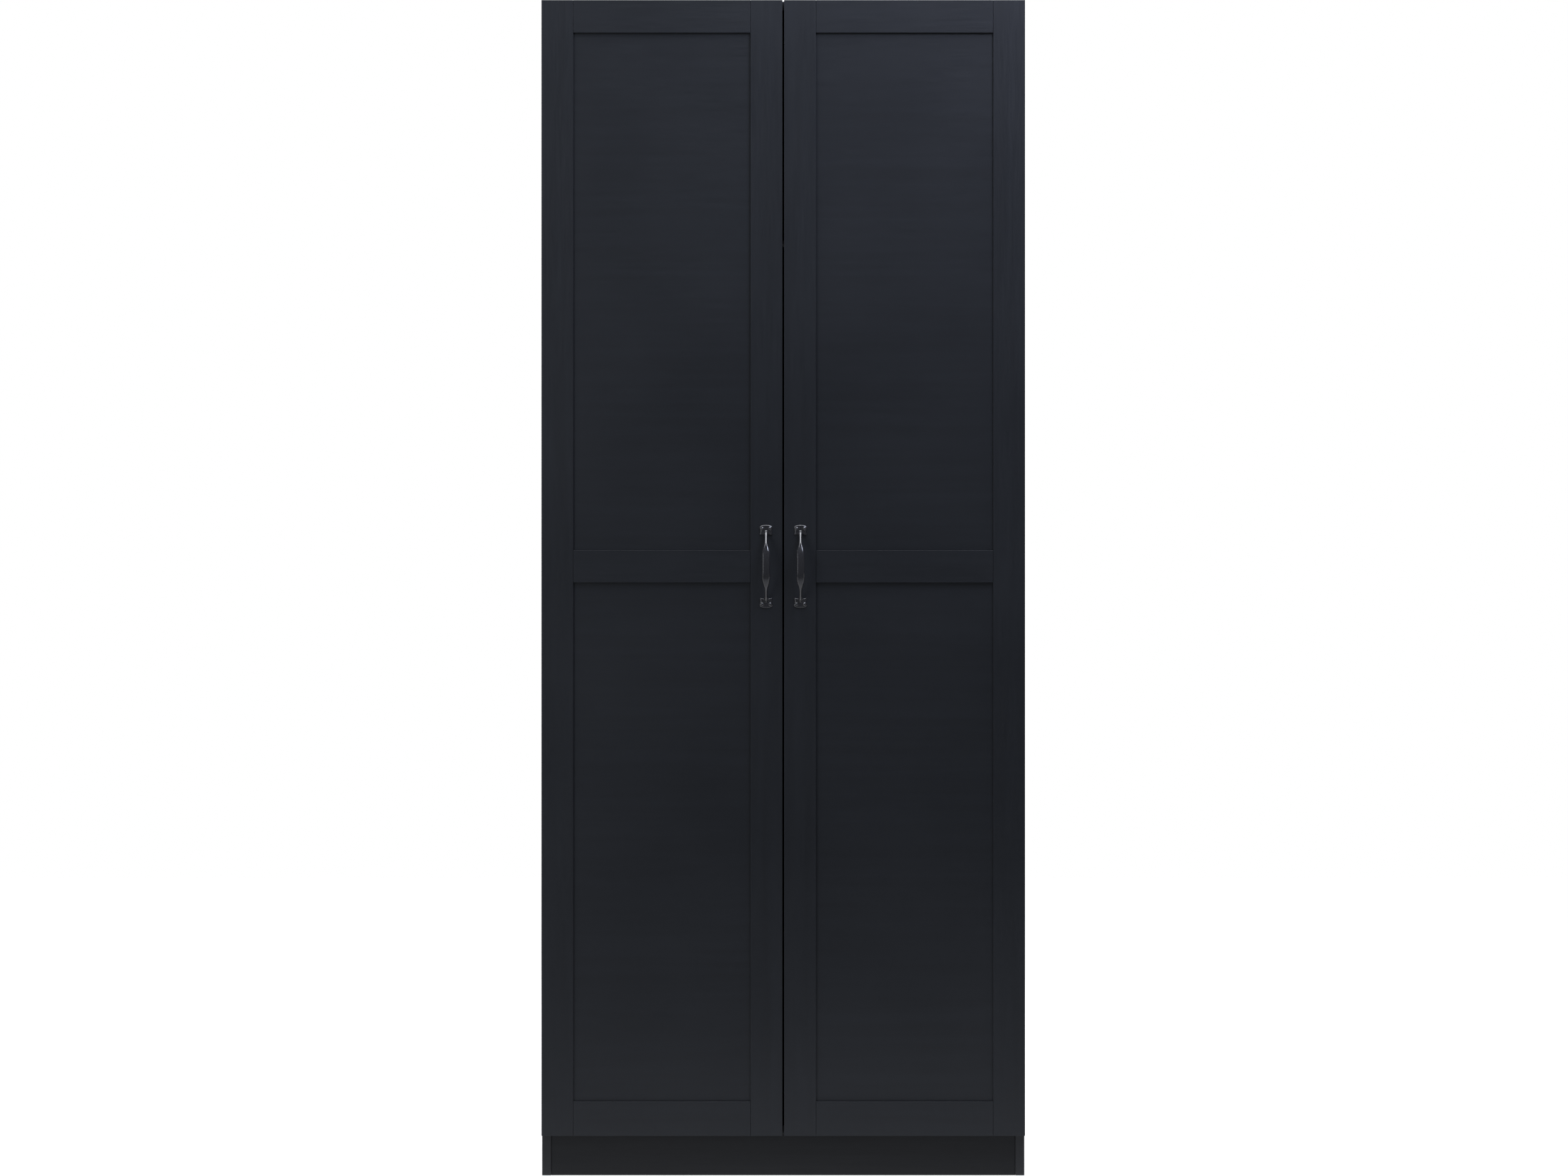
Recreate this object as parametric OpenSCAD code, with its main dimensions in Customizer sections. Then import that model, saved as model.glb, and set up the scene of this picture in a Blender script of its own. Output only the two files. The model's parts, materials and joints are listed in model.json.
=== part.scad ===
// Two-door wardrobe with framed doors, a hanging rod and two shelves.
// Millimetres. +Z is up, the doors face -Y, and the origin is on the floor under the
// middle of the whole object. Left-hand pieces are drawn; right-hand ones are mirrored.

/* [Cabinet] */
// Width over the side panels
cabinet_w = 800; // [600:1:1000]
// Height from the floor to the top
cabinet_h = 1947; // [1500:1:2200]
// Depth of the side panels
side_d = 480; // [400:1:600]
// Thickness of the laminated boards
board_t = 15; // [14:0.5:19]
// Thickness of the hardboard back
back_t = 3; // [2.5:0.5:6]
// How far the back stays inside the outline of the cabinet
back_inset = 2; // [1:0.5:5]
// Thickness of the tape over the fold of the back
tape_t = 0.4; // [0.3:0.1:1]
// Width of that tape
tape_w = 38; // [20:1:60]
// Height of the toe space under the doors
kick_h = 68; // [50:1:120]
// How far the kick board stands behind the side panels' front edges
kick_setback = 2; // [1:0.5:60]

/* [Inside] */
// Clear height between the top panel and the upper shelf
hat_space = 300; // [200:1:400]
// Height of the lower shelf's top face above the bottom panel
shoe_space = 320; // [200:1:500]
// How far both shelves stand behind the front edges
shelf_setback = 22; // [20:1:80]
// Play at each end of the lower shelf
shelf_play = 0.8; // [0.5:0.1:2]
// Radius of the hanging rod
rod_r = 12.7; // [10:0.1:16]
// Wall of the hanging rod
rod_wall = 1.2; // [0.8:0.1:2]
// Height of the rod's axis below the upper shelf
rod_drop = 52; // [40:1:90]
// Radius of the rod's flanges
flange_r = 26; // [24:0.5:32]
// Radius of the holes for the shelf pins
pin_hole_r = 2.6; // [2.5:0.1:3.5]
// Depth of those holes
pin_hole_depth = 10; // [8:0.5:11]
// Distance between the pin holes
pin_pitch = 32; // [25:1:40]
// Pin holes above and below the one in use
pin_spares = 2; // [0:1:3]

/* [Doors] */
// Gap between the two doors
centre_gap = 3; // [2:0.5:6]
// Gap between the carcass and the back of a door
door_gap = 2.4; // [2.2:0.1:4]
// Thickness of the door slab
slab_t = 15; // [15:0.5:19]
// Thickness of the frame glued on the slab
frame_t = 4; // [2:0.5:8]
// Width of the two upright frame pieces
stile_w = 52.5; // [30:0.5:90]
// Height of the top rail
top_rail_h = 54; // [30:1:90]
// Height of the middle rail
mid_rail_h = 53; // [30:1:90]
// Height of the bottom rail
bottom_rail_h = 57; // [30:1:90]
// Height of the middle rail's centre above the floor
mid_rail_z = 1010; // [700:1:1300]
// Radius of the bumpers behind the doors
bumper_r = 5; // [3:0.5:6]

/* [Handles] */
// Length of a handle
handle_l = 137.5; // [110:0.5:200]
// Height of the handles' centre above the floor
handle_z = 1010; // [700:1:1300]
// Distance of a handle from the inner edge of its door
handle_in = 27; // [20:1:40]
// How far a handle stands out from the door
handle_reach = 30; // [24:1:45]
// Width of a handle's plate
plate_w = 22.5; // [18:0.5:30]
// Height of a handle's plate
plate_h = 16; // [14:0.5:24]
// Thickness of a handle's plate
plate_t = 2.2; // [1.6:0.1:4]
// Width of the grip at its middle
grip_w = 12; // [9:0.5:16]
// Thickness of the grip at its middle
grip_t = 7; // [5:0.5:10]
// Distance between the two screws of a plate
plate_screws = 12.5; // [10:0.5:18]

/* [Hinges] */
// Hinges on each door
hinge_count = 4; // [3:1:5]
// Distance of the end hinges from the ends of the door
hinge_inset = 100; // [80:1:200]
// Radius of the hinge cup
cup_r = 17.4; // [17:0.1:18]
// Depth of the hinge cup
cup_depth = 11.8; // [11:0.1:12.5]
// Distance of the cup's middle from the plane of the side panel's inner face
cup_offset = 7.1; // [6.5:0.1:8]
// Distance of the mounting plate's screws from the front edge
plate_line = 37; // [37:1:50]

/* [Hidden] */
$fn = 48;
// Depth planes from front to back, counted along +Y
door_t = slab_t + frame_t;
overall_d = handle_reach + door_t + door_gap + side_d + back_t + tape_t;
front_y = overall_d / 2 - tape_t - back_t - side_d;
back_y = front_y + side_d;
slab_y = front_y - door_gap;
face_y = slab_y - slab_t;
outer_y = face_y - frame_t;
// Spans
half_w = cabinet_w / 2;
inner_x = half_w - board_t;
door_x = centre_gap / 2;
door_h = cabinet_h - kick_h;
// Heights of the boards' undersides
top_z = cabinet_h - board_t;
bottom_z = kick_h;
upper_z = top_z - hat_space - board_t;
lower_z = kick_h + shoe_space;
rod_z = upper_z - rod_drop;
mid_y = (front_y + back_y) / 2;
// Cams and dowels: each panel end has cams near both edges and dowels beside them
cam_r = 7.4;
cam_h = 11.5;
cam_in = 24;
cam_side = 60;
bolt_r = 2.5;
bolt_head_r = 3.4;
bolt_grip = 10;
bolt_collar = 2;
bolt_neck_r = 2;
bolt_ball_r = 3.06;
bolt_ball_l = 3;
cam_cross = [6, 1.2, 2];
dowel_r = 4;
dowel_l = 28;
dowel_side = 92;
// How much further a dowel reaches into the board than into the side panel, halved
dowel_shift = 3;
play = 0.1;
// How far a cut runs past a face
over = 1;
kick_mid_y = front_y + kick_setback + board_t / 2;
cam_ys = [front_y + cam_side, back_y - cam_side];
dowel_ys = [front_y + dowel_side, back_y - dowel_side];
kick_dowel_zs = [kick_h * 0.25, kick_h * 0.75];
// Boards that carry cams at both ends: [underside, cam's mouth on top]
JOINTED = [[top_z, true], [bottom_z, false], [upper_z, false]];
// Screws and nails
screw_r = 1.9;
screw_head_r = 3.2;
screw_head_t = 1.4;
screw_l = 12;
// How far a shank runs into its head
root = 0.5;
nail_r = 0.7;
nail_l = 18;
nail_head_r = 2.2;
nail_pitch = 155;
nail_zs = [for (z = [kick_h + 40 : nail_pitch : cabinet_h - 30]) z];
nail_xs = [for (x = [nail_pitch / 2 : nail_pitch : inner_x - 20]) x];
// Shelf pins
pin_side = 70;
pin_r = pin_hole_r - play;
pin_out = 8;
pin_end_play = 0.5;
pin_collar = 1.2;
pin_collar_drop = 1.4;
pin_collar_t = shelf_play - 0.2;
pin_ys = [front_y + shelf_setback + pin_side, back_y - pin_side];
pin_z = lower_z - pin_r;
// Rod flanges
flange_t = 3;
socket_wall = 1.6;
socket_l = 13;
rod_end_play = 1;
flange_screw_r = (flange_r + rod_r + play + socket_wall) / 2;
flange_turns = [90, 210, 330];
// Wall brackets
bracket_x = 200;
bracket_leg = 30;
bracket_w = 30;
bracket_t = 2;
wall_hole_r = 2.75;
wall_hole_drop = 18;
bracket_screw_xs = [-bracket_x - 8, -bracket_x + 8];
bracket_screw_y = back_y - 18;
// Frame pieces, bumpers and handles
rail_x0 = -half_w + stile_w;
rail_x1 = -door_x - stile_w;
bumper_t = door_gap - 0.3;
bumper_in = 25;
handle_x = -door_x - handle_in;
plate_z = handle_l / 2 - plate_h;
arch_z = handle_l / 2 - plate_w / 2;
plate_screw_z = plate_z + plate_h * 0.6;
handle_head_r = [3, 2];
handle_head_t = 1.5;
handle_screw_l = 14;
grip_end = plate_z + 4;
neck_w = 4.6;
neck_t = 5;
root_w = 8;
root_t = 6.8;
bow_power = 2.4;
// Shares of the grip's half length where its blade starts to narrow, where the neck starts, and where that
// starts to widen into its root
blade_full = 0.45;
blade_end = 0.72;
root_start = 0.85;
ring_count = 32;
ring_sides = 12;
// Hinge levels, counted from the middle of each hinge
link_half = 4.3;
cheek_in = 4.6;
cheek_out = 5.8;
side_in = 6.1;
side_out = 7.3;
wall_in = 8.3;
wall_out = 9.8;
link_r = 2.1;
pivot_r = 1.05;
pivot_play = 0.05;
flange_lip = 1.2;
flange_rim_r = cup_r + 1.6;
// Ears of the cup's flange, from its middle, and how far the flange stays off the door's edge
ear_from = [-2, -32];
ear_size = [17, 64];
flange_inset = 1;
flange_reach = 80;
cup_wall = 0.9;
// Opening in the rim where the links pass
link_room = wall_in - 0.2;
link_room_u = 4;
link_room_deep = 0.6;
// Walls that hold the cup's pins
post_r = link_r + 0.6;
post_half = link_r + 0.5;
post_foot = 0.5;
post_inset = 1.6;
post_top = 4;
pin_proud = 0.2;
pin_sunk = 0.15;
cup_screw_z = 24;
cup_screw_u = 6;
cup_screw_t = 0.9;
cup_screw_l = 13;
cup_u = board_t + cup_offset;
// Mounting plate and arm
plate_u = board_t;
plate_top = 3.6;
plate_back = -plate_line - 17;
plate_front = -plate_line + 15;
plate_half = 9;
wing_half = 22;
wing_w = 14;
wing_t = plate_top * 0.7;
tower_r = 3.4;
plate_screw_half = 16;
plate_screw_r = screw_r + 0.5;
plate_head_r = 4;
plate_head_t = 1.2;
plate_screw_l = 11;
plate_gap = 0.6;
arm_u = plate_u + 9.8;
arm_back = plate_back - 4;
nose_start = [plate_u + 8, -14];
nose_r = 3.4;
bridge_r = 3.2;
arm_t = 1.2;
arm_screw_v = [-plate_line - 9, -plate_line + 9];
arm_screw_r = 1.9;
arm_hole_r = 2;
arm_head_r = 3.6;
arm_head_t = 1.6;
strip_steps = 4;
// Keeps straight runs just inside the round ends they join
tuck = 0.1;
// Hinge pivots as [distance from the outside of the cabinet, distance in front of the carcass]
arm_pivot_1 = [board_t + 17, -6];
cup_pivot_1 = [board_t - 2.8, door_gap + 3.6];
arm_pivot_2 = [board_t + 19.5, -10.3];
cup_pivot_2 = [board_t - 2.2, door_gap + 8.2];
bend_1 = -6;
bend_2 = -8;
// Slot at the inner link's open pivot: how far it runs towards the cup and away from it
eye_short = 0.3;
eye_long = 2.9;
eye_play = 0.4;
hinge_z = [for (i = [0 : hinge_count - 1])
    kick_h + hinge_inset + i * (door_h - 2 * hinge_inset) / (hinge_count - 1)];

SIDES = ["left", "right"];

// ---- shared shapes ----

module block(from, to) {
    translate(from) cube(to - from);
}

module on_side(s) {
    mirror([s == "right" ? 1 : 0, 0, 0]) children();
}

// Children drawn in a hinge's own plane, X away from the cabinet's side and Y forward, at every hinge
module at_hinges() {
    for (z = hinge_z) translate([-half_w, front_y, z]) mirror([0, 1, 0]) children();
}

// A cylinder along +Y from a point
module rod_y(at, r, l) {
    translate(at) rotate([-90, 0, 0]) cylinder(r = r, h = l);
}

// A cylinder along +X from a point
module rod_x(at, r, l) {
    translate(at) rotate([0, 90, 0]) cylinder(r = r, h = l);
}

// A screw along -Z whose head stands on Z = 0
module screw(head_t, l = screw_l) {
    cylinder(r = screw_head_r, h = head_t);
    translate([0, 0, -l]) cylinder(r = screw_r, h = l + root);
}

// ---- carcass ----

// Holes in a side panel's inner face for the bolts and dowels of one board
module side_holes() {
    for (j = JOINTED) {
        z = j[0] + board_t / 2;
        for (y = cam_ys) rod_x([-inner_x - bolt_grip - play, y, z], bolt_r + play, bolt_grip + over);
        for (y = dowel_ys) rod_x([-inner_x - dowel_l / 2 + dowel_shift, y, z], dowel_r + play, dowel_l / 2);
    }
    for (z = kick_dowel_zs)
        rod_x([-inner_x - dowel_l / 2 + dowel_shift, kick_mid_y, z], dowel_r + play, dowel_l / 2);
    rod_x([-inner_x - bolt_grip - play, kick_mid_y, kick_h / 2], bolt_r + play, bolt_grip + over);
}

module side_panel(s) color("#232426") on_side(s) difference() {
    block([-half_w, front_y, 0], [-inner_x, back_y, cabinet_h]);
    side_holes();
    for (y = pin_ys, i = [-pin_spares : pin_spares])
        rod_x([-inner_x - pin_hole_depth, y, pin_z + i * pin_pitch], pin_hole_r, pin_hole_depth + over);
}

// Bores and slots for the cams, bolts and dowels in one end of a board
module cam_bores(z, mouth_up) {
    cam_z = mouth_up ? z + board_t - cam_h - play : z - over;
    for (y = cam_ys) {
        translate([-inner_x + cam_in, y, cam_z]) cylinder(r = cam_r + play, h = cam_h + play + over);
        rod_x([-inner_x - over, y, z + board_t / 2], bolt_head_r + play, cam_in + over);
    }
    for (y = dowel_ys)
        rod_x([-inner_x - over, y, z + board_t / 2], dowel_r + play, dowel_l / 2 + dowel_shift + 2 * over);
}

module jointed_board(i, y_front, y_back) difference() {
    z = JOINTED[i][0];
    block([-inner_x, y_front, z], [inner_x, y_back, z + board_t]);
    for (s = SIDES) on_side(s) cam_bores(z, JOINTED[i][1]);
}

module top_panel() color("#232426") jointed_board(0, front_y, back_y);
module bottom_panel() color("#232426") jointed_board(1, front_y, back_y);
module upper_shelf() color("#232426") jointed_board(2, front_y + shelf_setback, back_y);

module lower_shelf() color("#232426")
    block([-inner_x + shelf_play, front_y + shelf_setback, lower_z], [inner_x - shelf_play, back_y, lower_z + board_t]);

module kick_board() color("#232426") difference() {
    y = front_y + kick_setback;
    block([-inner_x, y, 0], [inner_x, y + board_t, kick_h]);
    for (s = SIDES) on_side(s) {
        rod_y([-inner_x + cam_in, y + board_t - cam_h - play, kick_h / 2], cam_r + play, cam_h + play + over);
        rod_x([-inner_x - over, kick_mid_y, kick_h / 2], bolt_head_r + play, cam_in + over);
        for (z = kick_dowel_zs)
            rod_x([-inner_x - over, kick_mid_y, z], dowel_r + play, dowel_l / 2 + dowel_shift + 2 * over);
    }
}

// One cam: a drum with a slot for the bolt's head and a cross in its mouth, drawn mouth up from z = 0
module cam() difference() {
    cylinder(r = cam_r, h = cam_h);
    translate([-cam_r - over, -bolt_head_r - play, cam_h - board_t / 2 - bolt_head_r - play])
        cube([cam_r + over + bolt_head_r, 2 * (bolt_head_r + play), 2 * (bolt_head_r + play)]);
    for (a = [0, 90]) rotate([0, 0, a]) translate([-cam_cross.x / 2, -cam_cross.y / 2, cam_h - cam_cross.z])
        cube(cam_cross + [0, 0, over]);
}

module cams() color("#a9abae") for (s = SIDES) on_side(s) {
    for (j = JOINTED, y = cam_ys)
        translate([-inner_x + cam_in, y, j[0] + (j[1] ? board_t : 0)])
            rotate([j[1] ? 0 : 180, 0, 0]) translate([0, 0, -cam_h]) cam();
    translate([-inner_x + cam_in, front_y + kick_setback + board_t, kick_h / 2])
        rotate([-90, 0, 0]) translate([0, 0, -cam_h]) cam();
}

// One bolt along +X: thread in the side panel, neck, and a head that sits in the cam
module cam_bolt() {
    rod_x([-bolt_grip, 0, 0], bolt_r, bolt_grip + bolt_collar);
    rod_x([bolt_collar / 2, 0, 0], bolt_neck_r, cam_in - bolt_ball_l);
    rod_x([cam_in - bolt_ball_l, 0, 0], bolt_ball_r, bolt_ball_l);
}

module cam_bolts() color("#8f9194") for (s = SIDES) on_side(s) {
    for (j = JOINTED, y = cam_ys) translate([-inner_x, y, j[0] + board_t / 2]) cam_bolt();
    translate([-inner_x, kick_mid_y, kick_h / 2]) cam_bolt();
}

module dowels() color("#c8a878") for (s = SIDES) on_side(s) {
    for (j = JOINTED, y = dowel_ys)
        rod_x([-inner_x - dowel_l / 2 + dowel_shift + play, y, j[0] + board_t / 2], dowel_r, dowel_l);
    for (z = kick_dowel_zs)
        rod_x([-inner_x - dowel_l / 2 + dowel_shift + play, kick_mid_y, z], dowel_r, dowel_l);
}

// ---- back ----

module back_sheet(s) color("#2b2724") on_side(s) difference() {
    block([-half_w + back_inset, back_y, kick_h + back_inset], [-play, back_y + back_t, cabinet_h - back_inset]);
    rod_y([-bracket_x, back_y - over, top_z - wall_hole_drop], wall_hole_r, back_t + 2 * over);
}

module back_tape() color("#1c1c1e")
    block([-tape_w / 2, back_y + back_t, kick_h + back_inset], [tape_w / 2, back_y + back_t + tape_t, cabinet_h - back_inset]);

module nail() {
    rod_y([0, -nail_l, 0], nail_r, nail_l);
    rod_y([0, 0, 0], nail_head_r, tape_t);
}

module back_nails() color("#9a9c9e") for (s = SIDES) on_side(s) translate([0, back_y + back_t, 0]) {
    for (z = nail_zs) translate([-half_w + board_t / 2, 0, z]) nail();
    for (x = nail_xs, z = [top_z, bottom_z, upper_z]) translate([-x, 0, z + board_t / 2]) nail();
}

// ---- inside ----

module hanging_rod() color("#c9ccd0") difference() {
    l = 2 * (inner_x - flange_t - rod_end_play);
    rod_x([-l / 2, mid_y, rod_z], rod_r, l);
    rod_x([-l / 2 - over, mid_y, rod_z], rod_r - rod_wall, l + 2 * over);
}

module rod_flange(s) color("#c9ccd0") on_side(s) difference() {
    union() {
        rod_x([-inner_x, mid_y, rod_z], flange_r, flange_t);
        rod_x([-inner_x, mid_y, rod_z], rod_r + play + socket_wall, socket_l);
    }
    rod_x([-inner_x + flange_t, mid_y, rod_z], rod_r + play, socket_l);
    for (a = flange_turns) translate([-inner_x, mid_y, rod_z]) rotate([a, 0, 0])
        rod_x([-over, 0, flange_screw_r], screw_r + play, flange_t + 2 * over);
}

module rod_screws() color("#b4b6b9") for (s = SIDES) on_side(s)
    for (a = flange_turns) translate([-inner_x + flange_t, mid_y, rod_z]) rotate([a, 0, 0])
        translate([0, 0, flange_screw_r]) rotate([0, 90, 0]) screw(screw_head_t);

module shelf_pins() color("#b4b6b9") for (s = SIDES) on_side(s) for (y = pin_ys) {
    rod_x([-inner_x - pin_hole_depth + pin_end_play, y, pin_z], pin_r, pin_hole_depth - pin_end_play + pin_out);
    rod_x([-inner_x, y, pin_z - pin_collar_drop], pin_r + pin_collar, pin_collar_t);
}

module wall_bracket(s) color("#a9abae") on_side(s) difference() {
    union() {
        block([-bracket_x - bracket_w / 2, back_y - bracket_t, top_z - bracket_leg],
            [-bracket_x + bracket_w / 2, back_y, top_z]);
        block([-bracket_x - bracket_w / 2, back_y - bracket_leg, top_z - bracket_t],
            [-bracket_x + bracket_w / 2, back_y, top_z]);
    }
    rod_y([-bracket_x, back_y - bracket_t - over, top_z - wall_hole_drop], wall_hole_r, bracket_t + 2 * over);
    for (x = bracket_screw_xs) translate([x, bracket_screw_y, top_z - bracket_t - over])
        cylinder(r = screw_r + play, h = bracket_t + 2 * over);
}

module bracket_screws() color("#b4b6b9") for (s = SIDES) on_side(s) for (x = bracket_screw_xs)
    translate([x, bracket_screw_y, top_z - bracket_t]) mirror([0, 0, 1]) screw(screw_head_t);

// ---- doors ----

module door_slab(s) color("#1f2023") on_side(s) difference() {
    block([-half_w, face_y, kick_h], [-door_x, slab_y, cabinet_h]);
    at_hinges() translate([cup_u, door_gap - over, 0]) rotate([-90, 0, 0])
        cylinder(r = cup_r + play, h = cup_depth + play + over);
}

module rail(x0, x1, z0, z1) block([x0, outer_y, z0], [x1, face_y, z1]);

module outer_stile(s) color("#26272a") on_side(s) rail(-half_w, rail_x0, kick_h, cabinet_h);
module inner_stile(s) color("#26272a") on_side(s) rail(rail_x1, -door_x, kick_h, cabinet_h);
module top_rail(s) color("#2a2b2f") on_side(s) rail(rail_x0, rail_x1, cabinet_h - top_rail_h, cabinet_h);
module middle_rail(s) color("#2a2b2f") on_side(s)
    rail(rail_x0, rail_x1, mid_rail_z - mid_rail_h / 2, mid_rail_z + mid_rail_h / 2);
module bottom_rail(s) color("#2a2b2f") on_side(s) rail(rail_x0, rail_x1, kick_h, kick_h + bottom_rail_h);

module bumpers(s) color("#55575a") on_side(s) for (z = [kick_h + board_t / 2, cabinet_h - board_t / 2])
    rod_y([-door_x - bumper_in, slab_y, z], bumper_r, bumper_t);

// ---- handles ----

// Outline of the upper plate, seen from the front, with its round end upward
module plate_outline() difference() {
    intersection() {
        translate([-plate_w / 2, plate_z]) square([plate_w, plate_h]);
        union() {
            translate([0, arch_z]) circle(r = plate_w / 2);
            translate([-plate_w / 2, plate_z]) square([plate_w, arch_z - plate_z]);
        }
    }
    for (x = [-1, 1]) translate([x * plate_screws / 2, plate_screw_z]) circle(r = screw_r + play);
}

// The bow: how far its middle line stands out, and its width and thickness, from -1 to 1 along it
function bow_out(t) = plate_t / 2 + (handle_reach - grip_t / 2 - plate_t / 2) * (1 - pow(abs(t), bow_power));
function ease(x) = let (c = min(1, max(0, x))) c * c * (3 - 2 * c);
function swell(t) = ease((blade_end - abs(t)) / (blade_end - blade_full));
function bow_at(t) = [-bow_out(t), t * grip_end];
function flare(t) = ease((abs(t) - root_start) / (1 - root_start));
// The way the bow runs, turned square to the door where it meets a plate
function bow_run(t) = let (d = bow_at(min(1, t + 0.01)) - bow_at(max(-1, t - 0.01)))
    d / norm(d) * (1 - flare(t)) + [sign(t), 0] * flare(t);
function bow_ring(t) =
    let (c = bow_at(t), d = bow_run(t) / norm(bow_run(t)),
        w = neck_w + (grip_w - neck_w) * swell(t) + (root_w - neck_w) * flare(t),
        h = neck_t + (grip_t - neck_t) * swell(t) + (root_t - neck_t) * flare(t))
    [for (i = [0 : ring_sides - 1]) let (a = 360 * i / ring_sides)
        [w / 2 * cos(a), c[0] - d[1] * h / 2 * sin(a), c[1] + d[0] * h / 2 * sin(a)]];

module bow() {
    rings = [for (k = [0 : ring_count]) bow_ring(sin(90 * (2 * k / ring_count - 1)))];
    points = [for (r = rings) each r];
    last = ring_count * ring_sides;
    faces = [
        [for (i = [ring_sides - 1 : -1 : 0]) i],
        [for (i = [0 : ring_sides - 1]) last + i],
        for (k = [0 : ring_count - 1], i = [0 : ring_sides - 1])
            let (a = k * ring_sides + i, b = k * ring_sides + (i + 1) % ring_sides)
            each [[a, b, a + ring_sides], [b, b + ring_sides, a + ring_sides]]
    ];
    polyhedron(points, faces);
}

module handle(s) color("#0c0c0d") on_side(s) translate([handle_x, outer_y, handle_z]) {
    for (m = [0, 1]) mirror([0, 0, m]) rotate([90, 0, 0]) linear_extrude(plate_t) plate_outline();
    bow();
}

module handle_screws(s) color("#1a1a1b") on_side(s) translate([handle_x, outer_y - plate_t, handle_z])
    for (m = [0, 1]) mirror([0, 0, m]) for (x = [-1, 1])
        translate([x * plate_screws / 2, 0, plate_screw_z]) rotate([90, 0, 0]) {
            cylinder(r1 = handle_head_r[0], r2 = handle_head_r[1], h = handle_head_t);
            translate([0, 0, -handle_screw_l]) cylinder(r = screw_r, h = handle_screw_l + root);
        }

// ---- hinges ----

// A flat strip between two pivots, bent by b at its middle, with round ends
function bent(a, c, b, f) = let (d = c - a, n = [-d[1], d[0]] / norm(d)) a + d * f + n * (4 * b * f * (1 - f));
module strip(a, c, b, r) {
    for (i = [0 : strip_steps]) translate(bent(a, c, b, i / strip_steps)) circle(r = r);
    for (i = [0 : strip_steps - 1])
        let (p = bent(a, c, b, i / strip_steps), q = bent(a, c, b, (i + 1) / strip_steps))
        translate(p) rotate(atan2(q[1] - p[1], q[0] - p[0]))
            translate([0, -r + tuck]) square([norm(q - p), 2 * (r - tuck)]);
}

// The same layer above and below the middle of a hinge
module twin(from, to) {
    for (m = [0, 1]) mirror([0, 0, m]) translate([0, 0, from]) linear_extrude(to - from) children();
}

// Cup: a pressed shell with a lip on the door, cut away where the links pass over its rim,
// and two pairs of walls that hold its pins
module hinge_cups(s) color("#b9bbbe") on_side(s) at_hinges() {
    floor_v = door_gap + cup_depth;
    translate([cup_u, 0, 0]) rotate([-90, 0, 0]) difference() {
        union() {
            translate([0, 0, door_gap]) cylinder(r = cup_r, h = cup_depth);
            translate([0, 0, door_gap - flange_lip]) intersection() {
                linear_extrude(flange_lip) union() {
                    circle(r = flange_rim_r);
                    translate(ear_from) square(ear_size);
                }
                translate([-cup_u + flange_inset, -flange_reach / 2, -over])
                    cube([flange_reach, flange_reach, flange_lip + 2 * over]);
            }
        }
        translate([0, 0, door_gap - flange_lip - over])
            cylinder(r = cup_r - cup_wall, h = cup_depth + flange_lip + over - cup_wall);
        for (z = [-cup_screw_z, cup_screw_z]) translate([cup_screw_u, z, 0])
            cylinder(r = screw_r + play, h = door_gap + over);
        translate([-cup_u, -link_room, 0]) cube([cup_u - link_room_u, 2 * link_room, door_gap + link_room_deep]);
    }
    for (layer = [[wall_in, wall_out, cup_pivot_1], [cheek_in, cheek_out, cup_pivot_2]])
        twin(layer[0], layer[1]) intersection() {
            difference() {
                union() {
                    translate(layer[2]) circle(r = post_r);
                    translate([layer[2][0] - post_half, layer[2][1]])
                        square([2 * post_half, floor_v - post_foot - layer[2][1]]);
                }
                translate(layer[2]) circle(r = pivot_r + pivot_play);
            }
            translate([cup_u - cup_r + post_inset, door_gap - post_top])
                square([2 * (cup_r - post_inset), cup_depth + post_top - post_foot]);
        }
}

// A pin through both cheeks
module long_pin(at) {
    translate([0, 0, -cheek_out - pin_sunk]) linear_extrude(2 * (cheek_out + pin_sunk)) translate(at) circle(r = pivot_r);
}

module cup_pins(s) color("#8f9194") on_side(s) at_hinges() {
    twin(side_in - pin_sunk, wall_out + pin_proud) translate(cup_pivot_1) circle(r = pivot_r);
    long_pin(cup_pivot_2);
}

module cup_screws(s) color("#b4b6b9") on_side(s) at_hinges() for (z = [-cup_screw_z, cup_screw_z])
    translate([cup_u + cup_screw_u, door_gap - flange_lip, z]) rotate([90, 0, 0]) screw(cup_screw_t, cup_screw_l);

// Mounting plate on the inside of the side panel
module hinge_plates(s) color("#b9bbbe") on_side(s) at_hinges() difference() {
    union() {
        block([plate_u, plate_back, -plate_half], [plate_u + plate_top, plate_front, plate_half]);
        block([plate_u, -plate_line - wing_w / 2, -wing_half], [plate_u + wing_t, -plate_line + wing_w / 2, wing_half]);
        for (v = arm_screw_v) rod_x([plate_u, v, 0], tower_r, arm_u - plate_u);
    }
    for (z = [-plate_screw_half, plate_screw_half])
        rod_x([plate_u - over, -plate_line, z], plate_screw_r + play, plate_top + 2 * over);
    for (v = arm_screw_v) rod_x([plate_u + over, v, 0], arm_hole_r, arm_u - plate_u);
}

module plate_screws(s) color("#b4b6b9") on_side(s) at_hinges() for (z = [-plate_screw_half, plate_screw_half]) {
    rod_x([plate_u + wing_t, -plate_line, z], plate_head_r, plate_head_t);
    rod_x([plate_u - plate_screw_l, -plate_line, z], plate_screw_r, plate_screw_l + wing_t + root);
}

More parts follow.
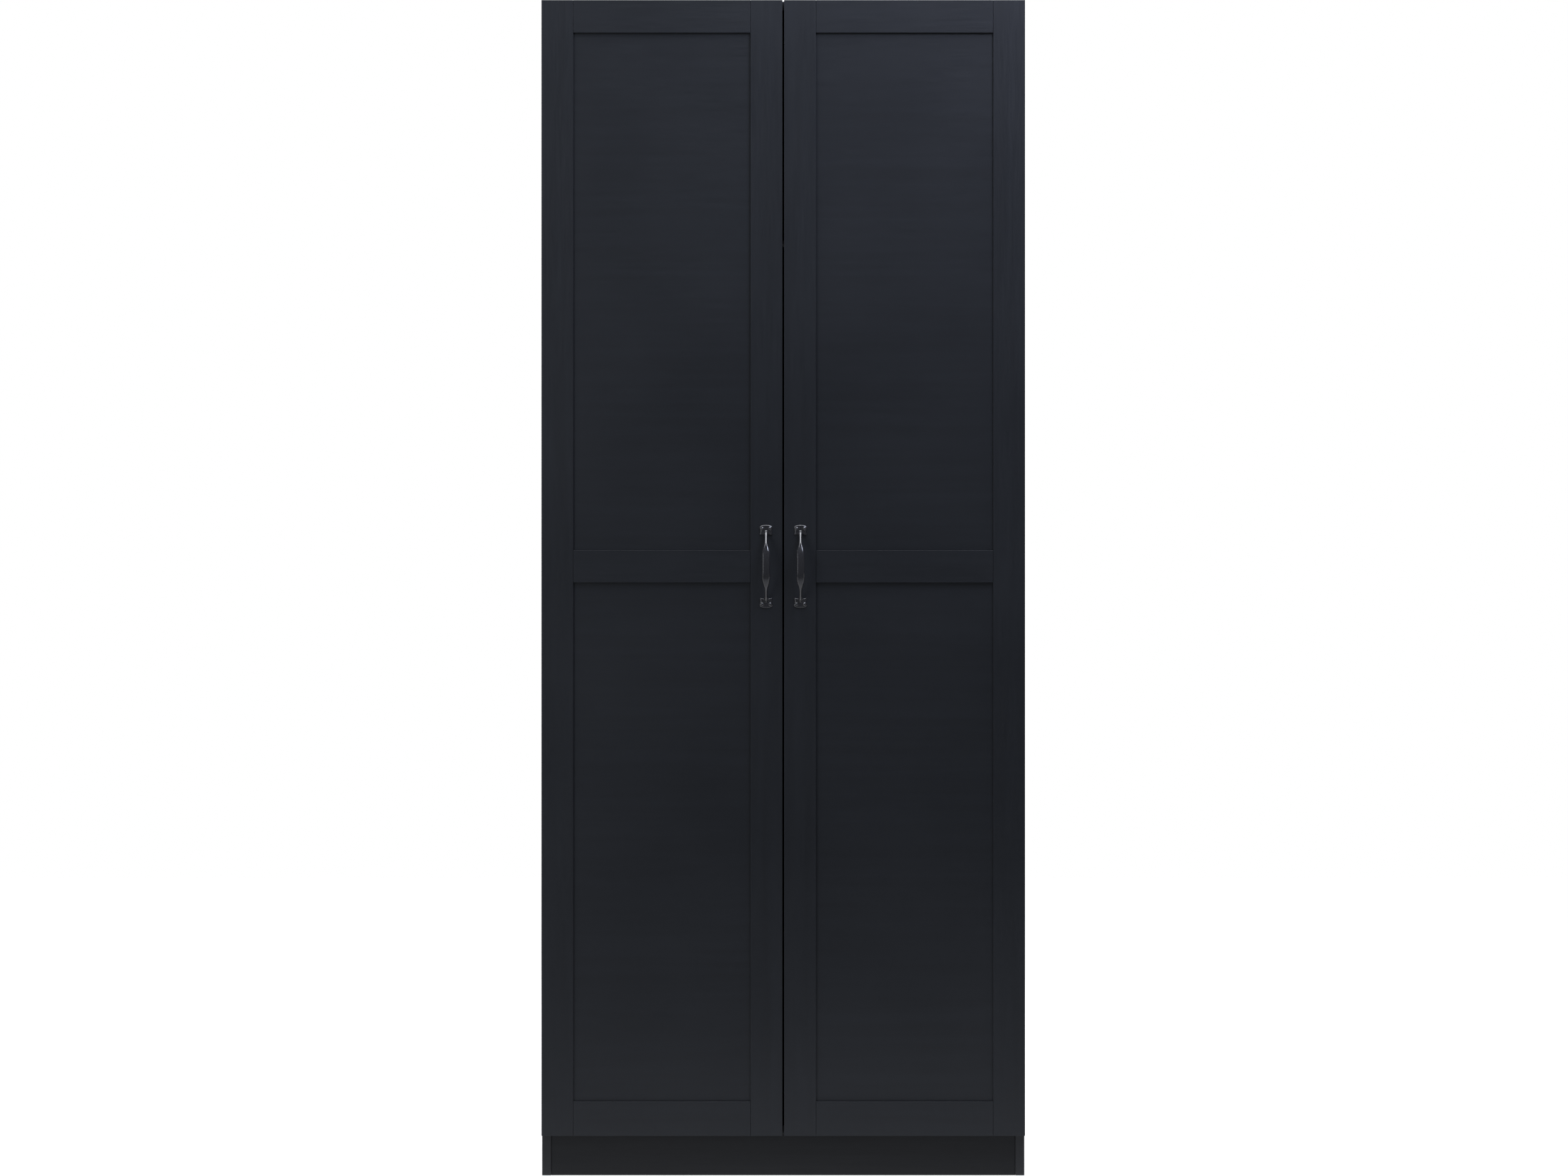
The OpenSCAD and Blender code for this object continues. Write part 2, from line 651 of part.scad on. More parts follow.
// Arm: a folded channel that bears on the plate, with a nose that holds two pivots
module hinge_arms(s) color("#b9bbbe") on_side(s) at_hinges() {
    difference() {
        union() {
            block([arm_u, arm_back, -cheek_out], [arm_u + arm_t, nose_start[1] + over, cheek_out]);
            twin(cheek_in, cheek_out) {
                translate([plate_u + plate_top + plate_gap, arm_back])
                    square([arm_u - plate_u - plate_top - plate_gap + arm_t / 3, nose_start[1] + over - arm_back]);
                strip(nose_start, arm_pivot_1, 0, nose_r);
                strip(arm_pivot_1, arm_pivot_2, 0, bridge_r);
            }
        }
        for (p = [arm_pivot_1, arm_pivot_2]) translate([p[0], p[1], -cheek_out - over])
            cylinder(r = pivot_r + pivot_play, h = 2 * (cheek_out + over));
        for (v = arm_screw_v) rod_x([arm_u - over, v, 0], arm_hole_r, arm_t + 2 * over);
    }
}

module arm_screws(s) color("#b4b6b9") on_side(s) at_hinges() for (v = arm_screw_v) {
    rod_x([arm_u + arm_t, v, 0], arm_head_r, arm_head_t);
    rod_x([plate_u + over + root, v, 0], arm_screw_r, arm_u + arm_t - plate_u - over);
}

module arm_pins(s) color("#8f9194") on_side(s) at_hinges() {
    twin(cheek_in - tuck, side_out + pin_proud) translate(arm_pivot_1) circle(r = pivot_r);
    long_pin(arm_pivot_2);
}

// Outer link: a plate above and one below the hinge's middle
module outer_links(s) color("#a9abae") on_side(s) at_hinges() twin(side_in, side_out) difference() {
    strip(arm_pivot_1, cup_pivot_1, bend_1, link_r);
    for (p = [arm_pivot_1, cup_pivot_1]) translate(p) circle(r = pivot_r + pivot_play);
}

// A slot of radius r along the line from the cup's second pivot past the arm's
module arm_slot(r) {
    d = (arm_pivot_2 - cup_pivot_2) / norm(arm_pivot_2 - cup_pivot_2);
    for (e = [-eye_short, eye_long]) translate(arm_pivot_2 + d * e) circle(r = r);
    translate(arm_pivot_2) rotate(atan2(d[1], d[0])) translate([-eye_short, -r + tuck / 5])
        square([eye_short + eye_long, 2 * (r - tuck / 5)]);
}

// Inner link: a solid block whose eye at the arm is a slot
module inner_links(s) color("#a9abae") on_side(s) at_hinges()
    translate([0, 0, -link_half]) linear_extrude(2 * link_half) difference() {
        union() {
            strip(arm_pivot_2, cup_pivot_2, bend_2, link_r);
            arm_slot(post_half);
        }
        translate(cup_pivot_2) circle(r = pivot_r + pivot_play);
        arm_slot(pivot_r + eye_play);
    }

// ---- assembly ----

for (s = SIDES) {
    side_panel(s);
    back_sheet(s);
    rod_flange(s);
    wall_bracket(s);
    door_slab(s);
    outer_stile(s);
    inner_stile(s);
    top_rail(s);
    middle_rail(s);
    bottom_rail(s);
    handle(s);
    handle_screws(s);
    bumpers(s);
    hinge_cups(s);
    cup_screws(s);
    cup_pins(s);
    hinge_plates(s);
    plate_screws(s);
    hinge_arms(s);
    arm_screws(s);
    arm_pins(s);
    outer_links(s);
    inner_links(s);
}
top_panel();
bottom_panel();
upper_shelf();
lower_shelf();
kick_board();
back_tape();
back_nails();
hanging_rod();
rod_screws();
shelf_pins();
cams();
cam_bolts();
dowels();
bracket_screws();
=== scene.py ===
"""A tall black wardrobe with two framed doors: finished boards, handles, fittings, camera and light."""
import math
import json

import bmesh
import bpy
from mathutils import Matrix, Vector

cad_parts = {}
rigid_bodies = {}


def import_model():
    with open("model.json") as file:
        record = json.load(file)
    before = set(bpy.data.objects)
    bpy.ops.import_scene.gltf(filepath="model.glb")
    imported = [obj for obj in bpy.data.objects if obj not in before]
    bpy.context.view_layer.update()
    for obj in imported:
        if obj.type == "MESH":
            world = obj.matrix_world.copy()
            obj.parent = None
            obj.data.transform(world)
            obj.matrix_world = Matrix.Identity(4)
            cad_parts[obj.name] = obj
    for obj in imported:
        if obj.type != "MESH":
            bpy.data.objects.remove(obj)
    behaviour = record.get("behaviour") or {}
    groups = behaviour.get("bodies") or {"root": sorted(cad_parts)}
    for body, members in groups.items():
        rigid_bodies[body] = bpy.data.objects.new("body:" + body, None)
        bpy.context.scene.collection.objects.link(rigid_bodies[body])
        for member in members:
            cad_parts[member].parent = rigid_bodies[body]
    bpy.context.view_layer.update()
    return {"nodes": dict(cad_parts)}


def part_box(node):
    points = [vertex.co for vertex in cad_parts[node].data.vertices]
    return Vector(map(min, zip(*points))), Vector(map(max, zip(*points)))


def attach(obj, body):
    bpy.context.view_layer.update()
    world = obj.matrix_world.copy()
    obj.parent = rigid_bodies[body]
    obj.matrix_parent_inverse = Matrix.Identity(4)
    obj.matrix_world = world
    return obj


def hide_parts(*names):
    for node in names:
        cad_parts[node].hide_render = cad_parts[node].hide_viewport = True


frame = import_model()

MM = 0.001
SIDES = ("left", "right")

# ---------------------------------------------------------------- materials


class Finish:
    """A node material under construction, with short ways to add and join nodes."""

    def __init__(self, name):
        self.material = bpy.data.materials.new(name)
        self.material.use_nodes = True
        self.tree = self.material.node_tree
        self.shader = self.tree.nodes["Principled BSDF"]
        self.coords = self.add("ShaderNodeTexCoord").outputs["Object"]

    def add(self, kind, **values):
        node = self.tree.nodes.new(kind)
        for key, value in values.items():
            setattr(node, key, value)
        return node

    def join(self, out, into):
        self.tree.links.new(out, into)

    def set(self, **values):
        for key, value in values.items():
            self.shader.inputs[key.replace("_", " ")].default_value = value

    def stretched(self, scale):
        """Object coordinates, scaled per axis, so that a pattern runs along one of them."""
        node = self.add("ShaderNodeMapping")
        node.inputs["Scale"].default_value = scale
        self.join(self.coords, node.inputs["Vector"])
        return node.outputs["Vector"]

    def noise(self, scale, vector=None, detail=4.0, distortion=0.0):
        node = self.add("ShaderNodeTexNoise")
        node.inputs["Scale"].default_value = scale
        node.inputs["Detail"].default_value = detail
        node.inputs["Roughness"].default_value = 0.55
        node.inputs["Distortion"].default_value = distortion
        self.join(vector or self.coords, node.inputs["Vector"])
        return node.outputs["Fac"]

    def grain(self, across, lengthwise, axis, **values):
        """Noise drawn out along one axis, 0 for X, 1 for Y and 2 for Z. Both scales are per metre."""
        scale = [across] * 3
        scale[axis] = lengthwise
        return self.noise(1.0, self.stretched(tuple(scale)), **values)

    def spread(self, value, low, high, at_low=0.0, at_high=1.0):
        """Maps value from at_low..at_high to low..high."""
        node = self.add("ShaderNodeMapRange")
        ends = (("From Min", at_low), ("From Max", at_high), ("To Min", low), ("To Max", high))
        for key, number in ends:
            node.inputs[key].default_value = number
        self.join(value, node.inputs["Value"])
        return node.outputs["Result"]

    def colours(self, value, *stops):
        """A colour ramp of (place, (r, g, b)) stops."""
        ramp = self.add("ShaderNodeValToRGB")
        while len(ramp.color_ramp.elements) < len(stops):
            ramp.color_ramp.elements.new(0.5)
        for element, (place, rgb) in zip(ramp.color_ramp.elements, stops):
            element.position = place
            element.color = (*rgb, 1.0)
        self.join(value, ramp.inputs["Fac"])
        return ramp.outputs["Color"]

    def math(self, operation, a, b):
        node = self.add("ShaderNodeMath", operation=operation)
        for socket, value in zip(node.inputs, (a, b)):
            if isinstance(value, (int, float)):
                socket.default_value = value
            else:
                self.join(value, socket)
        return node.outputs["Value"]

    def mixed(self, a, b, share):
        """A share of a, and b for the rest."""
        return self.math("ADD", self.math("MULTIPLY", a, share), self.math("MULTIPLY", b, 1 - share))

    def bump(self, height, distance, strength, under=None):
        node = self.add("ShaderNodeBump")
        node.inputs["Distance"].default_value = distance
        node.inputs["Strength"].default_value = strength
        self.join(height, node.inputs["Height"])
        if under is not None:
            self.join(under, node.inputs["Normal"])
        return node.outputs["Normal"]

    def done(self, base=None, rough=None, normal=None):
        for value, key in ((base, "Base Color"), (rough, "Roughness"), (normal, "Normal")):
            if value is not None:
                self.join(value, self.shader.inputs[key])
        return self.material


# Noise seldom leaves this middle stretch, so gloss is spread over it
CALM, LIVELY = 0.3, 0.7


def black_laminate(name, axis, dark, light, rough=(0.36, 0.5), ior=1.46):
    """Black printed foil whose fine grain runs along one axis."""
    f = Finish(name)
    pores = f.grain(900.0, 22.0, axis, detail=2.0)
    figure = f.grain(60.0, 2.2, axis, detail=5.0, distortion=0.6)
    clouds = f.noise(2.3, detail=2.0)
    skin = f.noise(2600.0, detail=1.0)
    base = f.colours(f.mixed(figure, clouds, 0.6), (0.3, dark), (0.72, light))
    gloss = f.spread(f.mixed(pores, clouds, 0.5), *rough, CALM, LIVELY)
    normal = f.bump(skin, 0.02 * MM, 0.35, under=f.bump(pores, 0.04 * MM, 0.45))
    f.set(IOR=ior)
    return f.done(base, gloss, normal)


def metal(name, colour, rough, varies=0.06, axis=2):
    """Plain or brushed metal: varies is how far its roughness departs from rough along the grain."""
    f = Finish(name)
    marks = f.grain(700.0, 700.0 / 30, axis, detail=3.0)
    spots = f.noise(60.0, detail=3.0)
    worn = tuple(min(1.0, c * 1.12) for c in colour)
    base = f.colours(f.mixed(marks, spots, 0.5), (0.35, colour), (0.65, worn))
    f.set(Metallic=1.0)
    gloss = f.spread(marks, rough - varies, rough + varies, CALM, LIVELY)
    return f.done(base, gloss, f.bump(marks, 0.03 * MM, 0.4))


def black_gloss():
    """Deep black gloss over a cast handle, faintly uneven."""
    f = Finish("black_gloss_plating")
    waves = f.noise(70.0, detail=2.0)
    specks = f.noise(1500.0, detail=2.0)
    base = f.colours(specks, (0.35, (0.012, 0.012, 0.014)), (0.7, (0.03, 0.03, 0.034)))
    f.set(Metallic=0.0, IOR=1.65, Coat_Weight=0.5, Coat_Roughness=0.05)
    return f.done(base, f.spread(waves, 0.1, 0.2, CALM, LIVELY), f.bump(waves, 0.3 * MM, 0.12))


def rubber():
    f = Finish("grey_rubber")
    grain = f.noise(1800.0, detail=3.0)
    base = f.colours(grain, (0.3, (0.09, 0.09, 0.095)), (0.7, (0.16, 0.16, 0.165)))
    return f.done(base, f.spread(grain, 0.55, 0.75), f.bump(grain, 0.1 * MM, 0.4))


def beech():
    f = Finish("beech")
    rings = f.grain(900.0, 60.0, 0)
    base = f.colours(rings, (0.3, (0.42, 0.27, 0.15)), (0.7, (0.6, 0.43, 0.27)))
    return f.done(base, f.spread(rings, 0.5, 0.7), f.bump(rings, 0.1 * MM, 0.4))


def fold_tape():
    """Black cloth tape: two crossing sets of threads."""
    f = Finish("black_cloth_tape")
    warp = f.noise(1.0, f.stretched((1500.0, 60.0, 120.0)))
    weft = f.noise(1.0, f.stretched((120.0, 60.0, 1500.0)))
    weave = f.math("MULTIPLY", warp, weft)
    base = f.colours(weave, (0.15, (0.018, 0.018, 0.02)), (0.4, (0.035, 0.035, 0.038)))
    return f.done(base, f.spread(weave, 0.45, 0.6, 0.1, 0.5), f.bump(weave, 0.12 * MM, 0.5))


ACROSS, UP = 0, 2
DOOR_FOIL = (0.0085, 0.0098, 0.0125), (0.0125, 0.0145, 0.0185)
BOARD_FOIL = (0.008, 0.009, 0.011), (0.0125, 0.0135, 0.0165), (0.42, 0.55)
# The kick board's foil is the board foil made darker and less shiny: painted shade under the doors
SHADED_KICK_FOIL = (0.006, 0.0065, 0.008), (0.009, 0.0098, 0.0115), (0.5, 0.64), 1.38
HARDBOARD = (0.012, 0.012, 0.013), (0.02, 0.02, 0.021), (0.5, 0.62)
MATERIALS = {
    "door_across": black_laminate("door_foil_across", ACROSS, *DOOR_FOIL),
    "door_up": black_laminate("door_foil_up", UP, *DOOR_FOIL),
    "board_up": black_laminate("board_foil_up", UP, *BOARD_FOIL),
    "board_across": black_laminate("board_foil_across", ACROSS, *BOARD_FOIL),
    "shaded_kick_foil": black_laminate("shaded_kick_foil", ACROSS, *SHADED_KICK_FOIL),
    "hardboard": black_laminate("hardboard_face", UP, *HARDBOARD),
    "nickel": metal("nickel_plate", (0.52, 0.51, 0.49), 0.26),
    "steel": metal("zinc_plated_steel", (0.5, 0.51, 0.53), 0.33),
    "zinc": metal("cast_zinc", (0.36, 0.37, 0.38), 0.45, 0.1),
    "tube": metal("polished_tube", (0.22, 0.224, 0.232), 0.14, 0.03, ACROSS),
    "handle": black_gloss(),
    "rubber": rubber(),
    "beech": beech(),
    "tape": fold_tape(),
}

# ---------------------------------------------------------------- meshes

# Bends sharper than this stay crisp, in degrees
BOARD_CRISP, FITTING_CRISP, HANDLE_CRISP, SCREW_CRISP = 8, 40, 50, 30
# Points closer than this are one point, and points this near a board's box lie on it
SAME_POINT, SAME_SCREW_POINT, ON_BOX = 1e-6, 1e-7, 1e-5
# The CAD's triangles are joined where they bend less than this, in degrees
FLAT_BEND = 0.5
# How far edges are eased: on boards, on thin pieces and on fittings, and how round on boards
BOARD_EASE, THIN_EASE, FITTING_EASE, EASE_SEGMENTS = 0.7 * MM, 0.3 * MM, 0.12 * MM, 3
# A fitting's edges are broken where they bend more than this, in degrees
FITTING_EDGE = 50
# A rail's ends stay this far off the stiles, which shows as a fine joint
RAIL_JOINT = 0.4 * MM


def finish_mesh(name, bm, key, body, node, crisp):
    """Turns bm into a piece that rides on a body and stands for a CAD node."""
    bmesh.ops.recalc_face_normals(bm, faces=bm.faces)
    mesh = bpy.data.meshes.new(name)
    bm.to_mesh(mesh)
    bm.free()
    obj = bpy.data.objects.new(name, mesh)
    bpy.context.scene.collection.objects.link(obj)
    mesh.materials.append(MATERIALS[key])
    mesh.shade_smooth()
    mesh.set_sharp_from_angle(angle=math.radians(crisp))
    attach(obj, body)
    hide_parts(node)


def merged_copy(node):
    """A CAD node's mesh with its triangles joined at their corners."""
    bm = bmesh.new()
    bm.from_mesh(frame["nodes"][node].data)
    bmesh.ops.remove_doubles(bm, verts=bm.verts, dist=SAME_POINT)
    return bm


def flat_copy(node):
    """The same, with its flat faces joined too."""
    bm = merged_copy(node)
    bmesh.ops.dissolve_limit(bm, angle_limit=math.radians(FLAT_BEND), verts=bm.verts, edges=bm.edges)
    return bm


def box_of(points):
    """The lowest and highest corner of a box round some points."""
    return tuple(Vector(end(p[i] for p in points) for i in range(3)) for end in (min, max))


def ease_outline(bm, width):
    """Rounds only the edges that lie on the outline's box, so holes stay crisp."""
    ends = box_of([v.co for v in bm.verts])

    def planes(p):
        return {(i, k) for i in range(3) for k, end in enumerate(ends) if abs(p[i] - end[i]) < ON_BOX}

    edges = [e for e in bm.edges if len(planes(e.verts[0].co) & planes(e.verts[1].co)) >= 2]
    bmesh.ops.bevel(bm, geom=edges, offset=width, segments=EASE_SEGMENTS, profile=0.5,
                    affect="EDGES", clamp_overlap=False)


def board(node, body, key, width=BOARD_EASE, joint=0.0):
    """A board with slightly eased edges. joint keeps its two ends off the pieces beside it."""
    bm = flat_copy(node)
    low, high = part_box(node)
    for v in bm.verts:
        v.co.x += joint * ((abs(v.co.x - low.x) < ON_BOX) - (abs(v.co.x - high.x) < ON_BOX))
    ease_outline(bm, width)
    finish_mesh(node + "_board", bm, key, body, node, BOARD_CRISP)


def fitting(node, body, key):
    """A pressed, turned or moulded piece with its sharp edges broken."""
    bm = flat_copy(node)
    edges = [e for e in bm.edges if e.is_manifold and e.calc_face_angle(0) > math.radians(FITTING_EDGE)]
    bmesh.ops.bevel(bm, geom=edges, offset=FITTING_EASE, segments=1, profile=0.5,
                    affect="EDGES", clamp_overlap=True)
    finish_mesh(node + "_piece", bm, key, body, node, FITTING_CRISP)


# ---------------------------------------------------------------- handles

# A plate's height and thickness, and the middle of its face as a share of its height
PLATE_HEIGHT, PLATE_THICK, PLATE_HEART = 15.8 * MM, 2.2 * MM, 0.47
# Its inner edge, in shares of half its width and of its height: the straight part beside the grip,
# the run from there to the pointed corner, and how far that corner dips
FOOT_SPAN, EAR_RUN, EAR_DIP, EAR_CURVE = 0.4, 0.54, 0.09, 1.6
# Its side: how far out it stands, how deep its waist is, where it starts and how high it runs
SIDE_OUT, WAIST_DEEP, SIDE_START, SIDE_RUN = 0.97, 0.1, -0.07, 0.73
# Its top: where the arch springs, its height and its roundness
ARCH_SPRING, ARCH_HEIGHT, ARCH_CURVE = 0.7, 0.3, 0.9
FOOT_POINTS, EAR_POINTS, SIDE_POINTS, ARCH_POINTS = 3, 5, 9, 16
# Its rounded edge from the door outwards: (share of the outline, share of the thickness)
PLATE_LAYERS = ((1.0, 0.0), (1.0, 0.24), (0.97, 0.5), (0.925, 0.74),
                (0.87, 0.91), (0.81, 0.985), (0.74, 1.0), (0.4, 1.0))

# The grip's widths, whole thicknesses and thicknesses in front of its middle line, at its necks,
# its blade and its roots in the plates
NECK_WIDE, BLADE_WIDE, ROOT_WIDE = 5.0 * MM, 14.0 * MM, 8.6 * MM
NECK_THICK, BLADE_THICK = 5.0 * MM, 5.4 * MM
NECK_FRONT, BLADE_FRONT, ROOT_HALF = 2.0 * MM, 2.4 * MM, 3.4 * MM
# Where the blade starts to narrow, where it ends and where the roots start, in shares of half the grip
BLADE_FULL, BLADE_END, ROOT_START = 0.36, 0.73, 0.85
# How square the bow is, and the share of a plate's height between the bow's end and the handle's end
BOW_POWER, BOW_INSET = 2.4, 0.74
# The front facet's share of the width on the necks and what the blade adds, and the back's share
FACET_NECK, FACET_BLADE, BACK_SHARE = 0.4, 0.28, 0.7
# Rings along the grip, how finely its direction is measured, and a ring's points and softening
BOW_STEPS, BOW_NUDGE, FACE_POINTS, SOFTENINGS = 150, 0.003, 8, 2


def smooth(x):
    x = min(1.0, max(0.0, x))
    return x * x * (3 - 2 * x)


def loft(bm, rings):
    """Skins a list of equal rings of points and closes both ends."""
    made = [[bm.verts.new(p) for p in ring] for ring in rings]
    n = len(rings[0])
    for a, b in zip(made, made[1:]):
        for i in range(n):
            bm.faces.new((a[i], a[(i + 1) % n], b[(i + 1) % n], b[i]))
    for ring in (made[0], made[-1]):
        bm.faces.new(ring)


def ring_of(corners):
    """Points evenly along a closed outline's sides, its corners softened by averaging."""
    points = []
    for (x0, y0), (x1, y1) in zip(corners, corners[1:] + corners[:1]):
        points += [(x0 + (x1 - x0) * k / FACE_POINTS, y0 + (y1 - y0) * k / FACE_POINTS)
                   for k in range(FACE_POINTS)]
    for _ in range(SOFTENINGS):
        points = [tuple((p[i] + 2 * q[i] + r[i]) / 4 for i in (0, 1))
                  for p, q, r in zip(points[-1:] + points[:-1], points, points[1:] + points[:1])]
    return points


def plate_outline(half, height):
    """Half of a plate's edge, from its inner edge to its top: an inner edge that dips to a pointed
    corner, a waisted side, and an arched top. X runs across and Y away from the grip."""
    points = [(half * FOOT_SPAN * k / FOOT_POINTS, 0.0) for k in range(1, FOOT_POINTS + 1)]
    points += [(half * (FOOT_SPAN + EAR_RUN * s), -height * EAR_DIP * s ** EAR_CURVE)
               for s in (k / EAR_POINTS for k in range(1, EAR_POINTS + 1))]
    points += [(half * (SIDE_OUT - WAIST_DEEP * math.sin(math.pi * s)), height * (SIDE_START + SIDE_RUN * s))
               for s in (k / SIDE_POINTS for k in range(1, SIDE_POINTS))]
    for k in range(ARCH_POINTS):
        a = math.pi / 2 * k / ARCH_POINTS
        points.append((half * math.cos(a) ** ARCH_CURVE,
                       height * (ARCH_SPRING + ARCH_HEIGHT * math.sin(a) ** ARCH_CURVE)))
    return points


def plate(bm, centre_x, wall_y, base_z, up, width):
    """A cast plate with a wide rounded edge round a flat middle."""
    half = plate_outline(width / 2, PLATE_HEIGHT)
    outline = [(0.0, 0.0)] + half + [(0.0, PLATE_HEIGHT)] + [(-x, y) for x, y in reversed(half)]
    heart = PLATE_HEIGHT * PLATE_HEART
    loft(bm, [[(centre_x + x * shrink, wall_y - PLATE_THICK * out,
                base_z + up * (heart + (y - heart) * shrink)) for x, y in outline]
              for shrink, out in PLATE_LAYERS])


def bow_section(wide, front, back, facet):
    """A grip's cross-section: a flat front facet between two bevels, and a rounded back."""
    half, flat, rear = wide / 2, facet / 2, wide / 2 * BACK_SHARE
    return ring_of([(half, 0), (flat, front), (-flat, front), (-half, 0), (-rear, back), (rear, back)])


def handle(side):
    """A bow handle: a flat blade that narrows to a neck at each end, on two shaped plates."""
    node = f"{side}_handle"
    low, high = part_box(node)
    middle = (low + high) / 2
    reach, length, width = high.y - low.y, high.z - low.z, high.x - low.x
    bm = bmesh.new()
    for up in (-1, 1):
        plate(bm, middle.x, high.y, middle.z + up * (length / 2 - PLATE_HEIGHT), up, width)
    run = length / 2 - PLATE_HEIGHT * BOW_INSET
    sunk = PLATE_THICK * 0.5
    stand = reach - BLADE_FRONT

    def centre_line(t):
        rise = 1 - abs(t) ** BOW_POWER
        return Vector((middle.x, high.y - sunk - (stand - sunk) * rise, middle.z + t * run))

    rings = []
    for k in range(BOW_STEPS + 1):
        t = math.sin(math.pi / 2 * (2 * k / BOW_STEPS - 1))
        a = abs(t)
        blade = smooth((BLADE_END - a) / (BLADE_END - BLADE_FULL))
        root = smooth((a - ROOT_START) / (1 - ROOT_START))
        wide = NECK_WIDE + (BLADE_WIDE - NECK_WIDE) * blade + (ROOT_WIDE - NECK_WIDE) * root
        front = NECK_FRONT + (BLADE_FRONT - NECK_FRONT) * blade + (ROOT_HALF - NECK_FRONT) * root
        back = NECK_THICK - NECK_FRONT
        back += (BLADE_THICK - BLADE_FRONT - back) * blade + (ROOT_HALF - back) * root
        facet = FACET_NECK * wide + FACET_BLADE * wide * blade
        along = centre_line(min(1, t + BOW_NUDGE)) - centre_line(max(-1, t - BOW_NUDGE))
        # Where the bow meets a plate, its section turns square to the door
        along = along.normalized().lerp(Vector((0, math.copysign(1, t), 0)), root).normalized()
        outward = Vector((0, -along.z, along.y))
        point = centre_line(t)
        rings.append([point + Vector((x, 0, 0)) + outward * y
                      for x, y in bow_section(wide, front, -back, facet)])
    loft(bm, rings)
    finish_mesh(f"{side}_bow_handle", bm, "handle", f"{side}_door", node, HANDLE_CRISP)


# ---------------------------------------------------------------- screws and nails


class NodeTree:
    """A Geometry Nodes tree under construction."""

    def __init__(self, name, sizes):
        self.group = bpy.data.node_groups.new(name, "GeometryNodeTree")
        face = self.group.interface
        face.new_socket("Geometry", in_out="INPUT", socket_type="NodeSocketGeometry")
        sockets = [(label, "NodeSocketFloat") for label in sizes] + [("Material", "NodeSocketMaterial")]
        self.ids = {label: face.new_socket(label, in_out="INPUT", socket_type=kind).identifier
                    for label, kind in sockets}
        face.new_socket("Geometry", in_out="OUTPUT", socket_type="NodeSocketGeometry")
        self.source = self.group.nodes.new("NodeGroupInput").outputs
        self.sink = self.group.nodes.new("NodeGroupOutput").inputs

    def add(self, kind, links=(), **values):
        node = self.group.nodes.new(kind)
        for key, value in values.items():
            setattr(node, key, value)
        for socket, value in dict(links).items():
            if isinstance(value, bpy.types.NodeSocket):
                self.group.links.new(value, node.inputs[socket])
            else:
                node.inputs[socket].default_value = value
        return node

    def math(self, operation, a, b=0.0):
        return self.add("ShaderNodeMath", {0: a, 1: b}, operation=operation).outputs[0]

    def xyz(self, x, y, z):
        return self.add("ShaderNodeCombineXYZ", {0: x, 1: y, 2: z}).outputs[0]


SCREW_SIZES = ("Head Radius", "Head Height", "Shank Radius", "Shank Length",
               "Recess Length", "Recess Width", "Slots")
# A head's dome is this much of a quarter turn, in radians, with so many rings and sides
DOME_SWEEP, DOME_RINGS, HEAD_SIDES, SHANK_SIDES = math.radians(72), 9, 32, 16
# A recess's depth as a share of the head's height, and a cross's second bar as a share of its first
RECESS_DEEP, SECOND_BAR = 1.1, 0.998
# Screws end up turned at random by up to this, in radians
TURN_SEED, MOST_TURN = 7, 3.1


